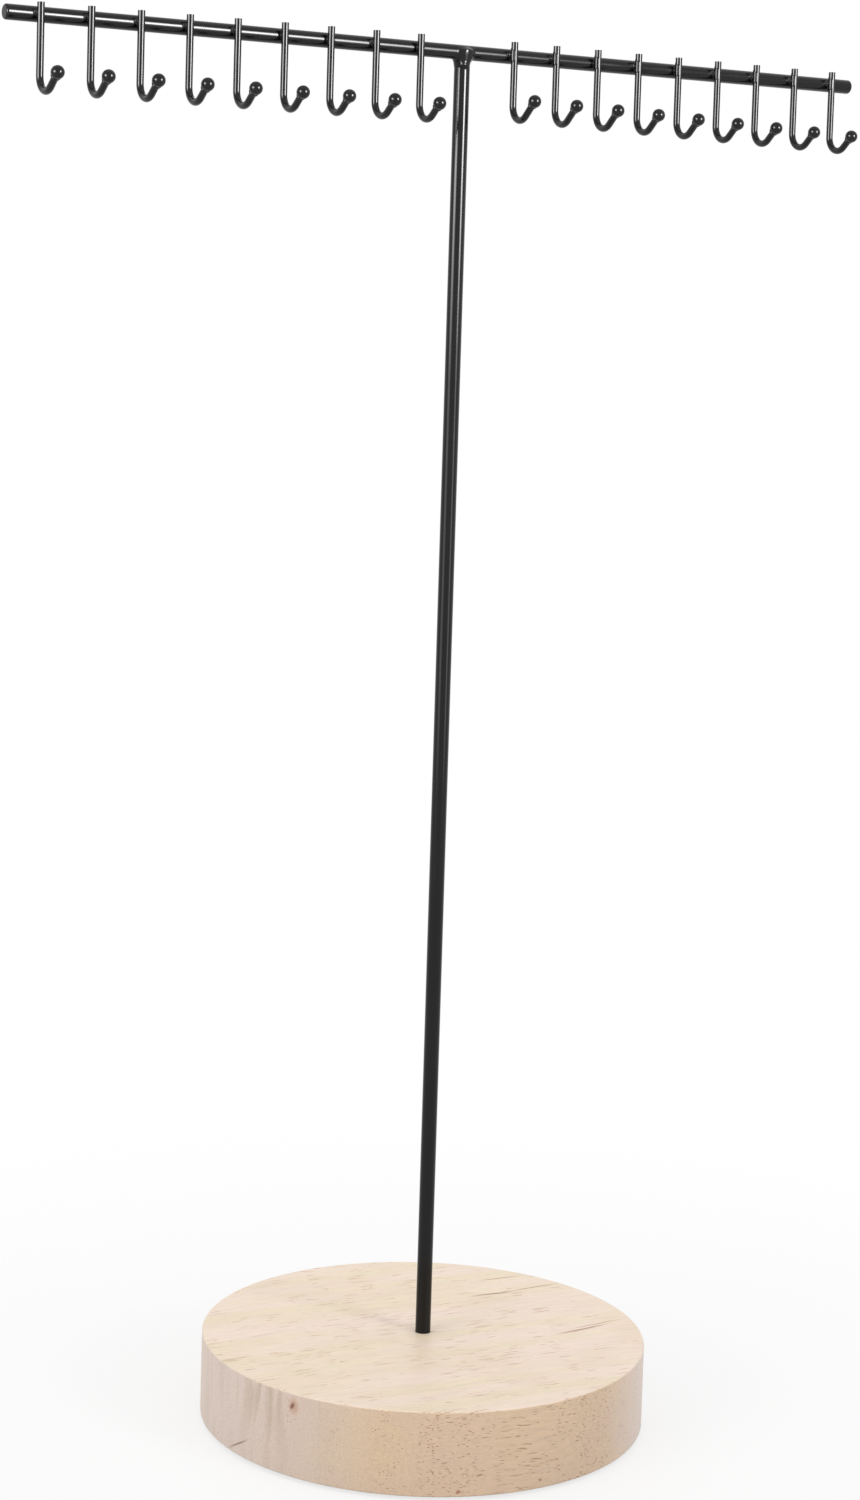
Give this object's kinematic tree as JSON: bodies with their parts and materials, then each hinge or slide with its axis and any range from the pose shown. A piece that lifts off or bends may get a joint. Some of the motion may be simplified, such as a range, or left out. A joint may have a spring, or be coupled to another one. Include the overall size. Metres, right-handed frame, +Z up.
{
  "type": "jewelry stand",
  "caption": "T-shaped stand for hanging jewelry: a round wood base, a slim black steel post and a crossbar with ball-tipped wire hooks facing the front.",
  "frame": {"origin": "on the floor under the post, centre of the underside", "axes": "+Z up along the post, X along the crossbar, -Y to the front, where the hooks point"},
  "size_m": [0.2804, 0.13, 0.4013],
  "materials": {
    "wood": "sanded pale rubberwood, matt clear lacquer",
    "black_paint": "gloss black baked enamel on steel",
    "hook_lacquer": "gloss black lacquer on steel wire",
    "zinc": "bright zinc plated",
    "pad_foam": "matt black foam rubber"
  },
  "bodies": {
    "root": {"anti_slip_pads": "pad_foam", "base": "wood", "crossbar": "black_paint", "hook_01": "hook_lacquer", "hook_02": "hook_lacquer", "hook_03": "hook_lacquer", "hook_04": "hook_lacquer", "hook_05": "hook_lacquer", "hook_06": "hook_lacquer", "hook_07": "hook_lacquer", "hook_08": "hook_lacquer", "hook_09": "hook_lacquer", "hook_10": "hook_lacquer", "hook_11": "hook_lacquer", "hook_12": "hook_lacquer", "hook_13": "hook_lacquer", "hook_14": "hook_lacquer", "hook_15": "hook_lacquer", "hook_16": "hook_lacquer", "hook_17": "hook_lacquer", "hook_18": "hook_lacquer", "hook_ball_01": "hook_lacquer", "hook_ball_02": "hook_lacquer", "hook_ball_03": "hook_lacquer", "hook_ball_04": "hook_lacquer", "hook_ball_05": "hook_lacquer", "hook_ball_06": "hook_lacquer", "hook_ball_07": "hook_lacquer", "hook_ball_08": "hook_lacquer", "hook_ball_09": "hook_lacquer", "hook_ball_10": "hook_lacquer", "hook_ball_11": "hook_lacquer", "hook_ball_12": "hook_lacquer", "hook_ball_13": "hook_lacquer", "hook_ball_14": "hook_lacquer", "hook_ball_15": "hook_lacquer", "hook_ball_16": "hook_lacquer", "hook_ball_17": "hook_lacquer", "hook_ball_18": "hook_lacquer", "hook_welds": "black_paint", "post": "black_paint", "post_weld": "black_paint", "threaded_insert": "zinc"}
  },
  "joints": []
}
